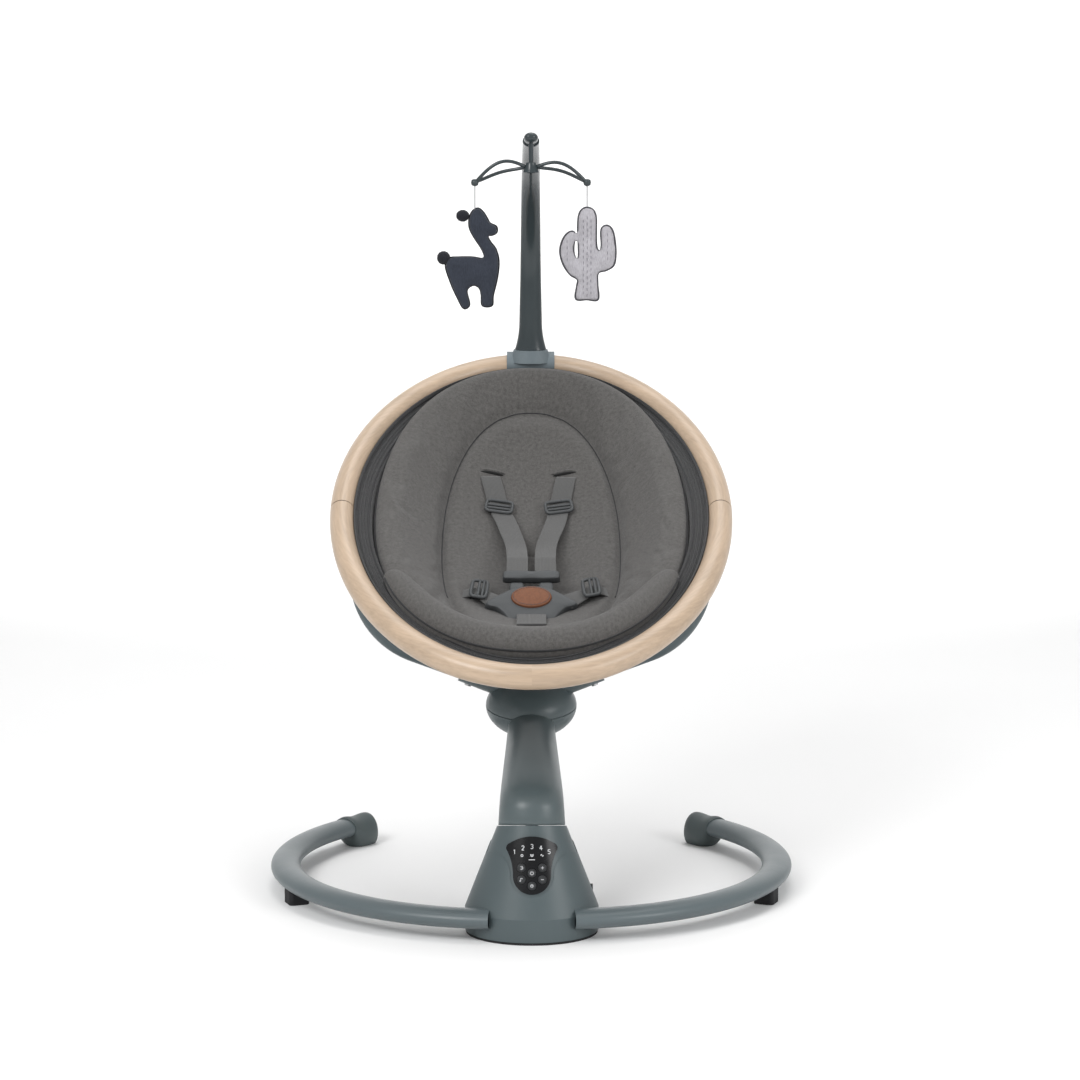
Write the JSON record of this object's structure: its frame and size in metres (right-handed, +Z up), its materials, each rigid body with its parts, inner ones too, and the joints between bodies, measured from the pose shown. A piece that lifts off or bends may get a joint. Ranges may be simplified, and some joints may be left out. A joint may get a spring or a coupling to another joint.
{
  "type": "baby_swing",
  "caption": "Baby swing: a keypad housing on open curved floor legs, a swinging arm, and a wooden ring holding a padded harness seat under a toy bar.",
  "frame": {"origin": "middle of the housing sole, on the floor", "axes": "+Z up, +X to the right of a person facing the keypad, the keypad faces -Y"},
  "size_m": [0.62, 0.5977, 0.8877],
  "materials": {
    "housing_plastic": "fine moulded texture, slate grey",
    "black_rubber": "matte",
    "keypad_gloss": "polished black",
    "key_plastic": "polished dark",
    "leg_paint": "satin powder coat, slate grey",
    "cap_plastic": "satin, slate grey",
    "dark_plastic": "satin, charcoal",
    "inner_plastic": "as moulded",
    "bearing_steel": "ground steel",
    "coil_copper": "enamelled copper winding",
    "magnet_steel": "nickel plated",
    "board_green": "solder mask",
    "arm_plastic": "fine moulded texture, slate grey",
    "yoke_paint": "satin powder coat, dark teal grey",
    "snap_steel": "plated",
    "light_wood": "clear satin lacquer over light beech",
    "collar_plastic": "satin, slate grey",
    "liner_fabric": "woven mesh, dark grey",
    "pad_fabric": "melange weave, grey",
    "webbing": "ribbed webbing, grey",
    "tan_leather": "tan, stitched edge",
    "bar_plastic": "satin, dark slate",
    "white_cord": "white braid",
    "llama_felt": "blue grey felt",
    "cactus_felt": "light grey jersey with dark piping"
  },
  "bodies": {
    "base": {"housing_shell": "housing_plastic", "housing_plinth": "housing_plastic", "base_sole": "black_rubber", "keypad_neck": "housing_plastic", "keypad_panel": "keypad_gloss", "power_inlet": "dark_plastic", "leg_tube_left": "leg_paint", "leg_tube_right": "leg_paint", "leg_cap_left": "cap_plastic", "leg_cap_right": "cap_plastic", "leg_foot_left": "black_rubber", "leg_foot_right": "black_rubber", "bearing_pedestal": "inner_plastic", "axle_bearings": "bearing_steel", "drive_coil": "coil_copper", "control_board": "board_green", "speaker": "dark_plastic"},
    "arm": {"swing_axle": "bearing_steel", "drive_magnet": "magnet_steel", "arm_shell": "arm_plastic", "hub_bowl": "arm_plastic", "hub_cover": "arm_plastic", "yoke_tube_left": "yoke_paint", "yoke_tube_right": "yoke_paint", "pivot_housing_left": "arm_plastic", "pivot_housing_right": "arm_plastic"},
    "seat": {"ring_front": "light_wood", "ring_rear": "light_wood", "ring_joiners": "dark_plastic", "ring_bracket_left": "arm_plastic", "ring_bracket_right": "arm_plastic", "toy_bar_socket": "collar_plastic", "seat_bucket": "liner_fabric", "liner_band": "liner_fabric", "seat_pad": "pad_fabric", "shoulder_strap_left": "webbing", "shoulder_strap_right": "webbing", "waist_strap_left": "webbing", "waist_strap_right": "webbing", "crotch_strap": "webbing", "strap_sliders": "dark_plastic", "buckle_body": "dark_plastic"},
    "toy_bar": {"toy_bar_lower": "bar_plastic", "toy_bar_upper": "bar_plastic"},
    "hanger": {"toy_hanger": "bar_plastic"},
    "llama": {"llama_string": "white_cord", "llama_toy": "llama_felt"},
    "cactus": {"cactus_string": "white_cord", "cactus_toy": "cactus_felt"},
    "buckle_press": {"buckle_button": "tan_leather"},
    "key_1": {"keypad_button_1": "key_plastic"},
    "key_2": {"keypad_button_2": "key_plastic"},
    "key_3": {"keypad_button_3": "key_plastic"},
    "key_4": {"keypad_button_4": "key_plastic"},
    "key_5": {"keypad_button_5": "key_plastic"},
    "key_6": {"keypad_button_6": "key_plastic"},
    "recline_cap_left": {"recline_button_left": "cap_plastic"},
    "snap_left": {"snap_button_left": "snap_steel"},
    "recline_cap_right": {"recline_button_right": "cap_plastic"},
    "snap_right": {"snap_button_right": "snap_steel"}
  },
  "joints": [
    {"name": "swing", "type": "hinge", "parent": "base", "child": "arm", "pos_m": [0, 0, 0.12], "axis": [0, 0.2334, 0.9724], "range_deg": [-34, 34]},
    {"name": "recline", "type": "hinge", "parent": "arm", "child": "seat", "pos_m": [0, 0.246, 0.4065], "axis": [1, 0, 0], "range_deg": [-14, 0]},
    {"name": "toy_bar_lift", "type": "slide", "parent": "seat", "child": "toy_bar", "axis": [0, -0.061, 0.9981], "range_m": [0, 0.03]},
    {"name": "hanger_turn", "type": "hinge", "parent": "toy_bar", "child": "hanger", "pos_m": [0, 0.2697, 0.87303], "axis": [0, 0, 1], "continuous": true},
    {"name": "llama_swing", "type": "hinge", "parent": "hanger", "child": "llama", "pos_m": [-0.066, 0.2697, 0.8258], "axis": [1, 0, 0], "range_deg": [-35, 35]},
    {"name": "cactus_swing", "type": "hinge", "parent": "hanger", "child": "cactus", "pos_m": [0.066, 0.2697, 0.8258], "axis": [1, 0, 0], "range_deg": [-35, 35]},
    {"name": "key_1_press", "type": "slide", "parent": "base", "child": "key_1", "axis": [0, 0.9439, -0.3301], "range_m": [0, 0.0008], "stiffness_N_per_m": 1500},
    {"name": "key_2_press", "type": "slide", "parent": "base", "child": "key_2", "axis": [0, 0.9439, -0.3301], "range_m": [0, 0.0008], "stiffness_N_per_m": 1500},
    {"name": "key_3_press", "type": "slide", "parent": "base", "child": "key_3", "axis": [0, 0.9439, -0.3301], "range_m": [0, 0.0008], "stiffness_N_per_m": 1500},
    {"name": "key_4_press", "type": "slide", "parent": "base", "child": "key_4", "axis": [0, 0.9439, -0.3301], "range_m": [0, 0.0008], "stiffness_N_per_m": 1500},
    {"name": "key_5_press", "type": "slide", "parent": "base", "child": "key_5", "axis": [0, 0.9439, -0.3301], "range_m": [0, 0.0008], "stiffness_N_per_m": 1500},
    {"name": "key_6_press", "type": "slide", "parent": "base", "child": "key_6", "axis": [0, 0.9439, -0.3301], "range_m": [0, 0.0008], "stiffness_N_per_m": 1500},
    {"name": "recline_button_left_press", "type": "slide", "parent": "arm", "child": "recline_cap_left", "axis": [1, 0, 0], "range_m": [0, 0.004], "stiffness_N_per_m": 900},
    {"name": "snap_left_press", "type": "slide", "parent": "arm", "child": "snap_left", "axis": [0.342, 0, 0.9397], "range_m": [0, 0.0014], "stiffness_N_per_m": 1200},
    {"name": "recline_button_right_press", "type": "slide", "parent": "arm", "child": "recline_cap_right", "axis": [-1, 0, 0], "range_m": [0, 0.004], "stiffness_N_per_m": 900},
    {"name": "snap_right_press", "type": "slide", "parent": "arm", "child": "snap_right", "axis": [-0.342, 0, 0.9397], "range_m": [0, 0.0014], "stiffness_N_per_m": 1200},
    {"name": "buckle_press_in", "type": "slide", "parent": "seat", "child": "buckle_press", "axis": [0, 0.7128, -0.7013], "range_m": [0, 0.0022], "stiffness_N_per_m": 900}
  ]
}
